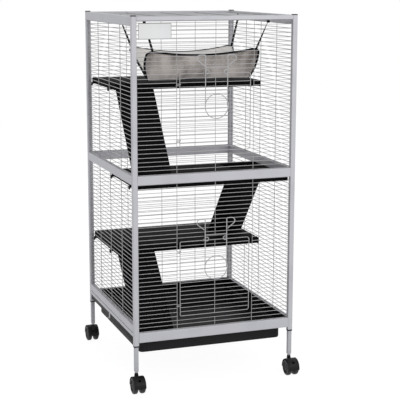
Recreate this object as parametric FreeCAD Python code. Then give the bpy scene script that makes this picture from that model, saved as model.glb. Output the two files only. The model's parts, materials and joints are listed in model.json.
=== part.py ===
"""A tall wire pet cage on casters: tube frame, mesh walls, shelves, ramps, tray and hammock.

Millimetres. The origin is on the floor under the middle of the cage, +Z is up,
-Y is the front with the doors, and the floor tray pulls out to -X.
"""
import FreeCAD
import Part
import math
import os

V = FreeCAD.Vector
X = V(1, 0, 0)
Y = V(0, 1, 0)
Z = V(0, 0, 1)

# Frame of square tube
post_spacing_x = 500.0
post_spacing_y = 518.0
tube_size = 15.0
tube_corner = 2.0
tube_wall = 1.2
frame_top = 1116.0
post_joint_height = 643.5
post_bottom = 144.0
joiner_length = 70.0
plug_clearance = 0.1
cap_thickness = 2.5
plug_length = 12.0

# Rails
top_front_rail_height = 12.5
top_side_rail_height = 26.0
mid_rail_height = 27.0
bottom_rail_bottom = 153.0
bottom_rail_height = 30.0
left_rail_height = 22.0

# Wire mesh
mesh_wire = 2.0
mesh_pitch = 12.65
mesh_bays = 4
roof_drop = 8.0

# Doors, with their heights as shares of the mesh section they are in
door_share = 0.514
lower_door_start = 0.086
upper_door_start = 0.143
door_side_gap = 10.0
door_wire = 3.0
hinge_clearance = 0.05
clip_wall = 1.5
clip_height = 8.0
clip_rows_from_end = 2

# Latches
latch_wire = 3.0
latch_standoff = 9.0
latch_leg_x = 34.5
latch_ring_radius = 36.0
latch_ring_drop = 90.0
latch_weld = 0.6
latch_top = 60.0
latch_shifts = {"lower": 6.0, "upper": -6.0}
horn_width = 26.0
horn_height = 32.0
horn_rise = 15.6
horn_tip_bend = 4.5
horn_bend = 6.0
leg_bend = 4.0
arm_diameter = 2.7
eye_length = 6.0

# Shelves and their end hooks
shelf_depth = 278.0
shelf_thickness = 18.0
shelf_wall = 3.0
shelf_clearance = 1.0
upper_shelf_share = 0.5532
lower_shelf_share = 0.4609
mid_shelf_rise = 4.0
hook_width = 14.0
hook_tongue = 4.0
hook_drop = 6.0
hook_plate = 2.0
hook_clearance = 0.3
hook_inset = 40.0

# Ramps
ramp_width = 120.0
ramp_thickness = 6.0
ramp_run = 190.0
low_ramp_run = 208.0
ramp_wall_gap = 2.5
ramp_lip = 12.0
ramp_flange = 3.0
ramp_start = 4.0
ramp_foot_gap = 0.5
seat_depth = 0.5
seat_margin = 1.0
tread_pitch = 26.0
tread_width = 5.0
tread_height = 1.5
stairwell_front = -70.0
stairwell_length = 80.0
stairwell_margin = 4.0

# Floor tray, its front strip and the guides behind the bottom rails
tray_half_x = 231.0
tray_half_y = 230.0
tray_bottom = 110.0
tray_rim = 157.0
tray_wall = 2.5
tray_flange = 3.0
tray_corner = 14.0
tray_side_gap = 2.5
runner_wall = 1.5
runner_gap = 0.3
runner_overlap = 15.0
runner_drop = 0.5
strip_size_x = 12.0
strip_inset = 0.5
strip_gap = 2.5
strip_bottom = 169.0
strip_end_gap = 1.0
lip_thickness = 6.5
lip_setback = 2.5
pull_y = 16.0
pull_width = 10.0
pull_thickness = 2.0
pull_drop = 15.0
pull_curl = 6.0

# Legs, collars and casters
leg_size = 12.2
leg_corner = 1.6
leg_wall = 1.0
collar_thickness = 4.0
collar_plug = 18.0
leg_bottom = 64.5
bush_length = 26.0
bush_collar = 4.0
bush_collar_radius = 5.2
stem_diameter = 8.0
stem_clearance = 0.05
stem_length = 24.0
swivel_gap = 0.4
wheel_diameter = 50.0
wheel_width = 14.0
wheel_gap = 9.2
wheel_recess = 3.0
wheel_rim = 8.0
wheel_round = 3.0
axle_diameter = 6.0
axle_clearance = 0.05
caster_trail = 16.0
hood_gap = 1.2
hood_wall = 1.8
web_thickness = 8.0
web_radius = 11.0
boss_radius = 7.0

# Hammock with its straps and hooks
hammock_middle_x = 4.0
hammock_half_length = 180.0
hammock_front = -141.0
hammock_back = 58.0
hammock_cloth = 11.0
hammock_clearance = 15.0
hammock_depth_share = 0.387
hammock_rise_share = 0.088
hammock_back_sag_share = 0.108
hammock_belly_share = 0.278
hammock_low_y = -104.0
hammock_front_bulge = 2.0
strap_insets = {"front_left": 22.0, "front_right": 8.0, "back_left": 14.0, "back_right": 14.0}
strap_leans = {"front_left": 26.0, "front_right": 41.0, "back_left": 37.0, "back_right": 21.0}
strap_width = 7.0
strap_thickness = 2.0
strap_gap = 0.3
strap_top_gap = 0.7
hook_ring_radius = 5.0
hook_ring_wire = 3.0

# Label plate
label_width = 99.0
label_height = 45.0
label_thickness = 1.5
label_drop = 7.0
label_inset = 7.0

# Places worked out from the sizes above
half_x = post_spacing_x / 2
half_y = post_spacing_y / 2
inner_x = half_x - tube_size / 2
inner_y = half_y - tube_size / 2
outer_x = half_x + tube_size / 2
mid_rail_bottom = post_joint_height - mid_rail_height / 2
mid_rail_top = mid_rail_bottom + mid_rail_height
bottom_rail_top = bottom_rail_bottom + bottom_rail_height
left_rail_bottom = bottom_rail_top
left_rail_top = left_rail_bottom + left_rail_height
front_opening_top = frame_top - top_front_rail_height
side_opening_top = frame_top - top_side_rail_height
roof_z = frame_top - roof_drop
upper_shelf_top = mid_rail_top + upper_shelf_share * (front_opening_top - mid_rail_top)
mid_shelf_top = mid_rail_bottom + mid_shelf_rise
lower_shelf_top = bottom_rail_top + lower_shelf_share * (mid_rail_bottom - bottom_rail_top)
headroom = roof_z - upper_shelf_top
hammock_bottom = upper_shelf_top + hammock_clearance
hammock_depth = hammock_depth_share * headroom
hammock_edge = hammock_bottom + hammock_depth
hammock_edge_rise = hammock_rise_share * headroom
hammock_back_sag = hammock_back_sag_share * headroom
wire_radius = mesh_wire / 2
front_plane = -half_y
back_plane = half_y
corners = {
    "front_left": (-half_x, -half_y),
    "front_right": (half_x, -half_y),
    "back_left": (-half_x, half_y),
    "back_right": (half_x, half_y),
}
nodes = {}


def box(x0, x1, y0, y1, z0, z1):
    """Box between two corners."""
    return Part.makeBox(x1 - x0, y1 - y0, z1 - z0, V(x0, y0, z0))


def spread(first, last, count):
    """Evenly spaced positions from first to last, count steps apart."""
    return [first + (last - first) * i / count for i in range(count + 1)]


def rounded_wire(centre, right, up, width, height, radius):
    """Closed rectangle with round corners, in the plane of right and up."""
    a = width / 2
    b = height / 2
    cut = radius * (1 - math.sqrt(0.5))
    arcs = []
    for sx, sy in ((1, 1), (-1, 1), (-1, -1), (1, -1)):
        on_side = centre + right * (sx * a) + up * (sy * (b - radius))
        middle = centre + right * (sx * (a - cut)) + up * (sy * (b - cut))
        on_end = centre + right * (sx * (a - radius)) + up * (sy * b)
        start, end = (on_side, on_end) if sx == sy else (on_end, on_side)
        arcs.append((start, middle, end))
    edges = []
    for i, (start, middle, end) in enumerate(arcs):
        next_start = arcs[(i + 1) % len(arcs)][0]
        edges.append(Part.Arc(start, middle, end).toShape())
        edges.append(Part.LineSegment(end, next_start).toShape())
    return Part.Wire(edges)


def holed_face(wires):
    """Flat face inside the first wire, with a hole for each of the others."""
    return Part.makeFace(wires, "Part::FaceMakerCheese")


def square_tube(centre, right, up, along, length, width, height):
    """Hollow rectangular tube that starts at centre and runs along for length."""
    outer = rounded_wire(centre, right, up, width, height, tube_corner)
    inner_corner = tube_corner - tube_wall
    inner = rounded_wire(centre, right, up, width - 2 * tube_wall, height - 2 * tube_wall, inner_corner)
    return holed_face([outer, inner]).extrude(along * length)


def square_bar(centre, right, up, along, length, size, radius):
    """Solid square bar with round edges."""
    return Part.Face(rounded_wire(centre, right, up, size, size, radius)).extrude(along * length)


def rectangle(corner, right, up, u0, u1, w0, w1):
    """Closed rectangular wire in the plane of right and up."""
    points = [(u0, w0), (u1, w0), (u1, w1), (u0, w1), (u0, w0)]
    return Part.makePolygon([corner + right * u + up * w for u, w in points])


def mesh_plate(corner, right, up, edges, columns, rows):
    """Flat welded mesh as one holed face, given its outer edges and its wire centre lines."""
    wires = [rectangle(corner, right, up, *edges)]
    for c in range(len(columns) - 1):
        for r in range(len(rows) - 1):
            u0 = columns[c] + wire_radius
            u1 = columns[c + 1] - wire_radius
            w0 = rows[r] + wire_radius
            w1 = rows[r + 1] - wire_radius
            wires.append(rectangle(corner, right, up, u0, u1, w0, w1))
    normal = right.cross(up)
    plate = holed_face(wires).extrude(normal * mesh_wire)
    plate.translate(normal * -wire_radius)
    return plate


def mesh_rows(bottom, top):
    """Centre lines of the close wires between two rails."""
    count = round((top - bottom - mesh_wire) / mesh_pitch)
    return spread(bottom + wire_radius, top - wire_radius, count)


def mesh_columns(half_width):
    """Centre lines of the few upright wires, border wires included."""
    return spread(-half_width + wire_radius, half_width - wire_radius, mesh_bays)


def bent_wire(points, bends, radius):
    """Round wire along straight runs joined by tangent arcs."""
    edges = []
    last = points[0]
    for i in range(1, len(points) - 1):
        back = (points[i - 1] - points[i]).normalize()
        ahead = (points[i + 1] - points[i]).normalize()
        half_angle = back.getAngle(ahead) / 2
        reach = bends[i - 1] / math.tan(half_angle)
        start = points[i] + back * reach
        end = points[i] + ahead * reach
        middle_way = (back + ahead).normalize()
        to_centre = bends[i - 1] / math.sin(half_angle)
        middle = points[i] + middle_way * (to_centre - bends[i - 1])
        edges.append(Part.LineSegment(last, start).toShape())
        edges.append(Part.Arc(start, middle, end).toShape())
        last = end
    edges.append(Part.LineSegment(last, points[-1]).toShape())
    path = Part.Wire(edges)
    tangent = (points[1] - points[0]).normalize()
    section = Part.Wire([Part.makeCircle(radius, points[0], tangent)])
    return path.makePipeShell([section], True, False)


def add_posts():
    """Four posts in two lengths, the joiners inside them and the caps on top."""
    joiners = []
    caps = []
    bore = tube_size - 2 * tube_wall
    plug = bore - 2 * plug_clearance
    plug_corner = max(tube_corner - tube_wall, plug_clearance)
    for name, (x, y) in corners.items():
        lower = V(x, y, post_bottom)
        upper = V(x, y, post_joint_height)
        lower_length = post_joint_height - post_bottom
        upper_length = frame_top - post_joint_height
        nodes["lower_post_" + name] = square_tube(lower, X, Y, Z, lower_length, tube_size, tube_size)
        nodes["upper_post_" + name] = square_tube(upper, X, Y, Z, upper_length, tube_size, tube_size)
        start = V(x, y, post_joint_height - joiner_length / 2)
        joiners.append(square_bar(start, X, Y, Z, joiner_length, plug, plug_corner))
        head = square_bar(V(x, y, frame_top), X, Y, Z, cap_thickness, tube_size, tube_corner)
        tail = square_bar(V(x, y, frame_top - plug_length), X, Y, Z, plug_length, plug, plug_corner)
        caps.append(head.fuse(tail))
    nodes["post_joiners"] = Part.makeCompound(joiners)
    nodes["post_caps"] = Part.makeCompound(caps)


def add_rails():
    """Twelve rails between the posts, the left bottom one raised over the tray's front strip."""
    def rail_x(side, bottom, height):
        start = V(-inner_x, side * half_y, bottom + height / 2)
        return square_tube(start, Y, Z, X, 2 * inner_x, tube_size, height)

    def rail_y(side, bottom, height):
        start = V(side * half_x, -inner_y, bottom + height / 2)
        return square_tube(start, X, Z, Y, 2 * inner_y, tube_size, height)

    def pair(rail, bottom, height):
        return Part.makeCompound([rail(side, bottom, height) for side in (-1, 1)])

    nodes["top_rails_front_back"] = pair(rail_x, front_opening_top, top_front_rail_height)
    nodes["top_rails_sides"] = pair(rail_y, side_opening_top, top_side_rail_height)
    nodes["middle_rails_front_back"] = pair(rail_x, mid_rail_bottom, mid_rail_height)
    nodes["middle_rails_sides"] = pair(rail_y, mid_rail_bottom, mid_rail_height)
    nodes["bottom_rail_front"] = rail_x(-1, bottom_rail_bottom, bottom_rail_height)
    nodes["bottom_rail_back"] = rail_x(1, bottom_rail_bottom, bottom_rail_height)
    nodes["bottom_rail_left"] = rail_y(-1, left_rail_bottom, left_rail_height)
    nodes["bottom_rail_right"] = rail_y(1, bottom_rail_bottom, bottom_rail_height)


def add_walls():
    """Mesh on the sides, the back and the roof."""
    columns_y = mesh_columns(inner_y)
    columns_x = mesh_columns(inner_x)

    def side(x, bottom, top):
        edges = (-inner_y, inner_y, bottom, top)
        return mesh_plate(V(x, 0, 0), Y, Z, edges, columns_y, mesh_rows(bottom, top))

    def back(bottom, top):
        edges = (-inner_x, inner_x, bottom, top)
        return mesh_plate(V(0, back_plane, 0), X, Z, edges, columns_x, mesh_rows(bottom, top))

    nodes["mesh_left_lower"] = side(-half_x, left_rail_top, mid_rail_bottom)
    nodes["mesh_left_upper"] = side(-half_x, mid_rail_top, side_opening_top)
    nodes["mesh_right_lower"] = side(half_x, bottom_rail_top, mid_rail_bottom)
    nodes["mesh_right_upper"] = side(half_x, mid_rail_top, side_opening_top)
    nodes["mesh_back_lower"] = back(bottom_rail_top, mid_rail_bottom)
    nodes["mesh_back_upper"] = back(mid_rail_top, front_opening_top)
    roof_edges = (-inner_x, inner_x, -inner_y, inner_y)
    roof_rows = mesh_rows(-inner_y, inner_y)
    nodes["mesh_roof"] = mesh_plate(V(0, 0, roof_z), X, Y, roof_edges, columns_x, roof_rows)


def front_mesh(rows, bottom, top, first_row, door_rows):
    """Front wall as four flat meshes round a door opening."""
    columns = mesh_columns(inner_x)
    middle = columns[1:-1]
    door_side = middle[0] + wire_radius
    sill = first_row - 1
    head = first_row + door_rows + 1
    corner = V(0, front_plane, 0)
    narrow = [door_side, 0.0, -door_side]
    left = mesh_plate(corner, X, Z, (-inner_x, door_side, bottom, top), columns[:2], rows)
    right = mesh_plate(corner, X, Z, (-door_side, inner_x, bottom, top), columns[-2:], rows)
    over_edges = (door_side, -door_side, rows[head] - wire_radius, top)
    over = mesh_plate(corner, X, Z, over_edges, narrow, rows[head:])
    under_edges = (door_side, -door_side, bottom, rows[sill] + wire_radius)
    under = mesh_plate(corner, X, Z, under_edges, narrow, rows[:sill + 1])
    return Part.makeCompound([left, right, over, under])


def door(rows):
    """Wire door: mesh with a round hinge wire on its left and a round top wire."""
    bottom = rows[0]
    top = rows[-1]
    columns = [-door_half, 0.0, door_half]
    edges = (-door_half - wire_radius, door_half + wire_radius, bottom - wire_radius, top + wire_radius)
    plate = mesh_plate(V(0, front_plane, 0), X, Z, edges, columns, rows)
    radius = door_wire / 2
    foot = V(-door_half, front_plane, bottom - radius)
    hinge_wire = Part.makeCylinder(radius, top - bottom + 2 * radius, foot, Z)
    top_wire = Part.makeCylinder(radius, 2 * door_half, V(-door_half, front_plane, top), X)
    return plate.fuse([hinge_wire, top_wire])


def hinge_clips(rows):
    """Two clips that hold the door's hinge wire to the upright wire beside it."""
    upright = mesh_columns(inner_x)[1]
    bore = door_wire / 2 + hinge_clearance
    deep = bore + clip_wall
    clips = []
    for row in (clip_rows_from_end, len(rows) - 2 - clip_rows_from_end):
        middle = (rows[row] + rows[row + 1]) / 2
        z0 = middle - clip_height / 2
        z1 = middle + clip_height / 2
        x0 = upright - wire_radius - clip_wall
        x1 = -door_half + deep
        body = box(x0, x1, front_plane - deep, front_plane + deep, z0, z1)
        wire_slot = box(upright - wire_radius, upright + wire_radius,
                        front_plane - wire_radius, front_plane + wire_radius, z0, z1)
        pin_hole = Part.makeCylinder(bore, clip_height, V(-door_half, front_plane, z0), Z)
        clips.append(body.cut([wire_slot, pin_hole]))
    return clips


def latch(pivot_z, shift):
    """Bent-wire latch: two horns and legs, a ring to pull, and two eyes round the door's top wire."""
    radius = latch_wire / 2
    y = front_plane - latch_standoff
    ring_z = pivot_z - latch_ring_drop + shift
    top_z = pivot_z + latch_top + shift
    ring_y = y - (latch_wire - latch_weld)
    pieces = [Part.makeTorus(latch_ring_radius, radius, V(0, ring_y, ring_z), Y)]
    eye_bore = door_wire / 2 + hinge_clearance
    holes = []
    for side in (-1, 1):
        leg = side * latch_leg_x
        far = side * (latch_leg_x + horn_width)
        points = [V(leg + side * latch_wire, y, top_z - horn_height),
                  V(far, y, top_z - horn_height + horn_rise),
                  V(far, y, top_z),
                  V(leg, y, top_z),
                  V(leg, y, ring_z)]
        pieces.append(bent_wire(points, [horn_tip_bend, horn_bend, leg_bend], radius))
        pieces.append(Part.makeCylinder(arm_diameter / 2, latch_standoff - eye_bore, V(leg, y, pivot_z), Y))
        start = V(leg - eye_length / 2, front_plane, pivot_z)
        pieces.append(Part.makeCylinder(eye_bore + clip_wall, eye_length, start, X))
        holes.append(Part.makeCylinder(eye_bore, eye_length, start, X))
    return pieces[0].fuse(pieces[1:]).cut(holes)


def add_front():
    """Front meshes, doors, hinge clips, latches and the label plate."""
    clips = []
    sections = (("lower", bottom_rail_top, mid_rail_bottom, lower_door_start),
                ("upper", mid_rail_top, front_opening_top, upper_door_start))
    for name, bottom, top, start in sections:
        rows = mesh_rows(bottom, top)
        gaps = len(rows) - 1
        first_row = round(start * gaps)
        door_rows = round(door_share * gaps)
        door_levels = rows[first_row:first_row + door_rows + 1]
        nodes["mesh_front_" + name] = front_mesh(rows, bottom, top, first_row, door_rows)
        nodes["door_" + name] = door(door_levels)
        nodes["latch_" + name] = latch(door_levels[-1], latch_shifts[name])
        clips += hinge_clips(door_levels)
    nodes["door_hinge_clips"] = Part.makeCompound(clips)
    x0 = -inner_x + label_inset
    z1 = front_opening_top - label_drop
    face = front_plane - wire_radius
    nodes["label_plate"] = box(x0, x0 + label_width, face - label_thickness, face, z1 - label_height, z1)


def ramp_seat(x0, edge_y, way, top):
    """Shallow recess in a shelf top in which a ramp's lip or foot sits, from edge_y back against way."""
    far_y = edge_y - way * (ramp_lip + seat_margin)
    y0, y1 = sorted((edge_y + way * seat_margin, far_y))
    return box(x0 - seat_margin, x0 + ramp_width + seat_margin, y0, y1, top - seat_depth, top)


def shelf(y0, y1, top):
    """Moulded shelf: a top skin with a skirt all round, open below."""
    bottom = top - shelf_thickness
    body = box(-shelf_half, shelf_half, y0, y1, bottom, top)
    hollow = box(-shelf_half + shelf_wall, shelf_half - shelf_wall, y0 + shelf_wall, y1 - shelf_wall,
                 bottom, top - shelf_wall)
    return body.cut(hollow)


def shelf_hooks(y0, y1, top, left_rows, right_rows):
    """Hooks on a shelf's ends: a tongue through the mesh that rests on a wire, with a lip outside."""
    hooks = []
    for side, rows in ((-1, left_rows), (1, right_rows)):
        level = max(z for z in rows if z + wire_radius + hook_tongue + shelf_wall < top)
        seat = level + wire_radius
        lip = half_x + wire_radius + hook_clearance
        for y in (y0 + hook_inset, y1 - hook_inset):
            tongue = box(shelf_half, lip + hook_plate, y - hook_width / 2, y + hook_width / 2,
                         seat, seat + hook_tongue)
            drop = box(lip, lip + hook_plate, y - hook_width / 2, y + hook_width / 2, seat - hook_drop, seat)
            hook = tongue.fuse(drop).removeSplitter()
            if side < 0:
                hook = hook.mirror(V(0, 0, 0), X)
            hooks.append(hook)
    return hooks


def ramp(x0, edge_y, way, top, foot, run):
    """Ramp that hooks over an edge at edge_y and runs down towards way times +Y, with cross treads."""
    start = top - shelf_thickness + ramp_start
    foot_reach = ramp_flange + run
    slope = (start - foot) / run
    angle = math.atan(slope)
    drop = ramp_thickness / math.cos(angle)
    profile = [(-ramp_lip, top), (-ramp_lip, top + ramp_flange), (ramp_flange, top + ramp_flange),
               (ramp_flange, start), (foot_reach, foot), (foot_reach - drop / slope, foot),
               (0.0, start + slope * ramp_flange - drop), (0.0, top)]
    points = [V(x0, edge_y + way * s, z) for s, z in profile]
    body = Part.Face(Part.makePolygon(points + points[:1])).extrude(X * ramp_width)
    down = V(0, way * math.cos(angle), -math.sin(angle))
    out = V(0, way * math.sin(angle), math.cos(angle))
    head = V(x0, edge_y + way * ramp_flange, start)
    reach = down * (tread_width / 2)
    sunk = out * (ramp_thickness / 2)
    proud = out * tread_height
    treads = []
    count = int((run / math.cos(angle) - tread_pitch) / tread_pitch)
    for i in range(1, count + 1):
        middle = head + down * (i * tread_pitch)
        ring = [middle - reach - sunk, middle + reach - sunk, middle + reach + proud, middle - reach + proud]
        treads.append(Part.Face(Part.makePolygon(ring + ring[:1])).extrude(X * ramp_width))
    return body.fuse(treads).removeSplitter()


def add_shelves_and_ramps():
    """Three shelves, their hooks, and the ramps that lead from one to the next."""
    back_edge = inner_y - shelf_clearance
    front_edge = -back_edge
    left_lower = mesh_rows(left_rail_top, mid_rail_bottom)
    right_lower = mesh_rows(bottom_rail_top, mid_rail_bottom)
    side_upper = mesh_rows(mid_rail_top, side_opening_top)
    back_span = (back_edge - shelf_depth, back_edge)
    front_span = (front_edge, front_edge + shelf_depth)
    ramp_left = -shelf_half + ramp_wall_gap
    well_x1 = shelf_half - shelf_wall
    ramp_right = well_x1 - ramp_wall_gap - ramp_width

    upper_foot = back_span[0] - ramp_flange - ramp_run
    middle_foot = stairwell_front + ramp_flange + ramp_run
    upper = shelf(*back_span, upper_shelf_top)
    nodes["shelf_upper"] = upper.cut(ramp_seat(ramp_left, back_span[0], -1, upper_shelf_top))
    lower_seats = [ramp_seat(ramp_left, back_span[0], -1, lower_shelf_top),
                   ramp_seat(ramp_right, middle_foot, 1, lower_shelf_top)]
    nodes["shelf_lower"] = shelf(*back_span, lower_shelf_top).cut(lower_seats)
    middle = shelf(*front_span, mid_shelf_top)
    well_x0 = ramp_right - stairwell_margin
    well_y1 = stairwell_front + stairwell_length
    bottom = mid_shelf_top - shelf_thickness
    collar = box(well_x0 - shelf_wall, well_x1, stairwell_front - shelf_wall, well_y1 + shelf_wall,
                 bottom, mid_shelf_top)
    well = box(well_x0, well_x1, stairwell_front, well_y1, bottom, mid_shelf_top)
    middle_seats = [ramp_seat(ramp_left, upper_foot, -1, mid_shelf_top),
                    ramp_seat(ramp_right, stairwell_front, 1, mid_shelf_top)]
    nodes["shelf_middle"] = middle.fuse(collar).removeSplitter().cut([well] + middle_seats)

    hooks = shelf_hooks(*back_span, upper_shelf_top, side_upper, side_upper)
    hooks += shelf_hooks(*front_span, mid_shelf_top, left_lower, right_lower)
    hooks += shelf_hooks(*back_span, lower_shelf_top, left_lower, right_lower)
    nodes["shelf_hooks"] = Part.makeCompound(hooks)

    upper_seat = upper_shelf_top - seat_depth
    mid_seat = mid_shelf_top - seat_depth
    lower_seat = lower_shelf_top - seat_depth
    tray_top = tray_rim + ramp_foot_gap
    nodes["ramp_upper"] = ramp(ramp_left, back_span[0], -1, upper_seat, mid_seat, ramp_run)
    nodes["ramp_middle"] = ramp(ramp_right, stairwell_front, 1, mid_seat, lower_seat, ramp_run)
    nodes["ramp_lower"] = ramp(ramp_left, back_span[0], -1, lower_seat, tray_top, low_ramp_run)


def rounded_block(half_width, half_depth, bottom, top, radius):
    """Block with round upright corners, centred on the origin."""
    wire = rounded_wire(V(0, 0, bottom), X, Y, 2 * half_width, 2 * half_depth, radius)
    return Part.Face(wire).extrude(Z * (top - bottom))


def add_tray():
    """Pull-out tray with its rim, the strip and pull on its left, and the guides around its rim."""
    flange_bottom = tray_rim - tray_flange
    body = rounded_block(tray_half_x, tray_half_y, tray_bottom, tray_rim, tray_corner)
    rim_y = inner_y - tray_side_gap
    strip_x0 = -outer_x + strip_inset
    strip_x1 = strip_x0 + strip_size_x
    lip_x0 = strip_x0 + lip_setback
    rim = box(lip_x0, inner_x - tray_side_gap, -rim_y, rim_y, flange_bottom, tray_rim)
    lip = box(lip_x0, lip_x0 + lip_thickness, -rim_y, rim_y, tray_rim, strip_bottom)
    inside = rounded_block(tray_half_x - tray_wall, tray_half_y - tray_wall, tray_bottom + tray_wall,
                           tray_rim, tray_corner - tray_wall)
    nodes["tray"] = body.fuse([rim, lip]).cut(inside).removeSplitter()

    strip_top = left_rail_bottom - strip_gap
    strip_height = strip_top - strip_bottom
    strip_half_y = inner_y - strip_end_gap
    start = V((strip_x0 + strip_x1) / 2, -strip_half_y, strip_bottom + strip_height / 2)
    nodes["tray_front_strip"] = square_tube(start, X, Z, Y, 2 * strip_half_y, strip_size_x, strip_height)
    low = strip_bottom - pull_drop
    tab = box(strip_x0, strip_x0 + pull_thickness, pull_y - pull_width / 2, pull_y + pull_width / 2,
              low, strip_bottom)
    curl = box(strip_x0 - pull_curl, strip_x0 + pull_thickness, pull_y - pull_width / 2,
               pull_y + pull_width / 2, low - pull_thickness, low)
    nodes["tray_pull"] = tab.fuse(curl).removeSplitter()

    seat = flange_bottom - runner_gap
    guide_top = bottom_rail_top - runner_drop
    runners = []
    for side in (-1, 1):
        face = side * inner_y
        upright = sorted((face, face - side * runner_wall))
        ledge = sorted((face, face - side * (runner_wall + runner_overlap)))
        wall = box(-inner_x, inner_x, *upright, seat - runner_wall, guide_top)
        shelf_leg = box(-inner_x, inner_x, *ledge, seat - runner_wall, seat)
        runners.append(wall.fuse(shelf_leg).removeSplitter())
    stop_y = inner_y - runner_wall
    runners.append(box(inner_x - runner_wall, inner_x, -stop_y, stop_y, seat, guide_top))
    nodes["tray_runners"] = Part.makeCompound(runners)


def add_legs():
    """Collars in the post ends, the thinner square legs and the bushes for the caster stems."""
    bore = tube_size - 2 * tube_wall
    plug = bore - 2 * plug_clearance
    plug_corner = max(tube_corner - tube_wall, plug_clearance)
    leg_top = post_bottom - collar_thickness
    leg_length = leg_top - leg_bottom
    leg_bore = leg_size - 2 * leg_wall
    spigot = leg_bore - 2 * plug_clearance
    spigot_corner = leg_corner - leg_wall
    collars = []
    legs = []
    bushes = []
    for x, y in corners.values():
        flange = square_bar(V(x, y, leg_top), X, Y, Z, collar_thickness, tube_size, tube_corner)
        upper = square_bar(V(x, y, post_bottom), X, Y, Z, collar_plug, plug, plug_corner)
        lower = square_bar(V(x, y, leg_top - collar_plug), X, Y, Z, collar_plug, spigot, spigot_corner)
        collars.append(flange.fuse([upper, lower]))
        outer = square_bar(V(x, y, leg_bottom), X, Y, Z, leg_length, leg_size, leg_corner)
        inner = square_bar(V(x, y, leg_bottom), X, Y, Z, leg_length, leg_bore, spigot_corner)
        legs.append(outer.cut(inner))
        sleeve = square_bar(V(x, y, leg_bottom), X, Y, Z, bush_length, spigot, spigot_corner)
        foot_start = V(x, y, leg_bottom - bush_collar)
        foot = Part.makeCylinder(bush_collar_radius, bush_collar, foot_start, Z)
        hole = Part.makeCylinder(stem_diameter / 2 + stem_clearance, bush_length + bush_collar, foot_start, Z)
        bushes.append(sleeve.fuse(foot).cut(hole))
    nodes["post_collars"] = Part.makeCompound(collars)
    nodes["legs"] = Part.makeCompound(legs)
    nodes["stem_bushes"] = Part.makeCompound(bushes)


def add_caster(name, x, y):
    """Twin-wheel caster that trails outwards from the stem, with its wheel pair."""
    way = math.copysign(1.0, y)
    axle_y = y + way * caster_trail
    wheel_radius = wheel_diameter / 2
    half_width = wheel_gap / 2 + wheel_width
    cavity = wheel_radius + hood_gap
    shell = cavity + hood_wall
    body_top = leg_bottom - bush_collar - swivel_gap
    middle = V(x, axle_y, wheel_radius)

    def across(radius, x0, x1):
        return Part.makeCylinder(radius, x1 - x0, V(x + x0, middle.y, middle.z), X)

    below = box(x - half_width, x + half_width, axle_y - shell, axle_y + shell,
                wheel_radius - shell, wheel_radius + hood_gap)
    hood = across(shell, -half_width, half_width).cut(below)
    hub = across(web_radius, -web_thickness / 2, web_thickness / 2)
    web = box(x - web_thickness / 2, x + web_thickness / 2, axle_y - web_radius, axle_y + web_radius,
              wheel_radius, wheel_radius + cavity)
    boss = Part.makeCylinder(boss_radius, body_top - wheel_radius, V(x, y, wheel_radius), Z)
    rooms = [across(cavity, web_thickness / 2, half_width), across(cavity, -half_width, -web_thickness / 2)]
    body = hood.fuse([web, boss]).cut(rooms)
    axle = across(axle_diameter / 2, -half_width + wheel_recess, half_width - wheel_recess)
    stem = Part.makeCylinder(stem_diameter / 2, stem_length, V(x, y, body_top), Z)
    nodes["caster_" + name] = body.fuse([hub, axle, stem])

    wheels = []
    for side in (-1, 1):
        near = side * wheel_gap / 2
        far = side * half_width
        disc = across(wheel_radius, min(near, far), max(near, far))
        rims = [e for e in disc.Edges if isinstance(e.Curve, Part.Circle)]
        disc = disc.makeFillet(wheel_round, rims)
        floor = far - side * wheel_recess
        dish = across(wheel_radius - wheel_rim, min(floor, far), max(floor, far))
        hole = across(axle_diameter / 2 + axle_clearance, min(near, far), max(near, far))
        wheels.append(disc.cut([dish, hole]))
    nodes["wheels_" + name] = Part.makeCompound(wheels)


def hammock_edge_at(offset, at_back=False):
    """Height of the hammock's long edges, which sag between their corners, the back one more."""
    sag = hammock_back_sag if at_back else hammock_edge_rise
    return hammock_edge + hammock_edge_rise - sag * (1 - (offset / hammock_half_length) ** 2)


def hammock_section(offset):
    """Cross-section of the slung cloth at a distance along X from the hammock's middle."""
    x = hammock_middle_x + offset
    edge = hammock_edge_at(offset)
    back = hammock_edge_at(offset, True)
    cloth = hammock_cloth
    low = hammock_bottom
    front_y = hammock_front + hammock_front_bulge
    front_z = (edge + low) / 2
    floor_y = (hammock_low_y + hammock_back) / 2
    floor_z = low + hammock_belly_share * hammock_depth

    def at(y, z):
        return V(x, y, z)

    outer_front = Part.Arc(at(hammock_front, edge), at(front_y, front_z), at(hammock_low_y, low))
    outer_back = Part.Arc(at(hammock_low_y, low), at(floor_y, floor_z), at(hammock_back, back))
    inner_back = Part.Arc(at(hammock_back - cloth, back), at(floor_y - cloth / 2, floor_z + cloth),
                          at(hammock_low_y + cloth / 2, low + cloth))
    inner_front = Part.Arc(at(hammock_low_y + cloth / 2, low + cloth),
                           at(front_y + cloth, front_z + cloth / 2),
                           at(hammock_front + cloth, edge))
    back_edge = Part.LineSegment(at(hammock_back, back), at(hammock_back - cloth, back))
    front_edge = Part.LineSegment(at(hammock_front + cloth, edge), at(hammock_front, edge))
    curves = [outer_front, outer_back, back_edge, inner_back, inner_front, front_edge]
    return Part.Wire([c.toShape() for c in curves])


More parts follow.
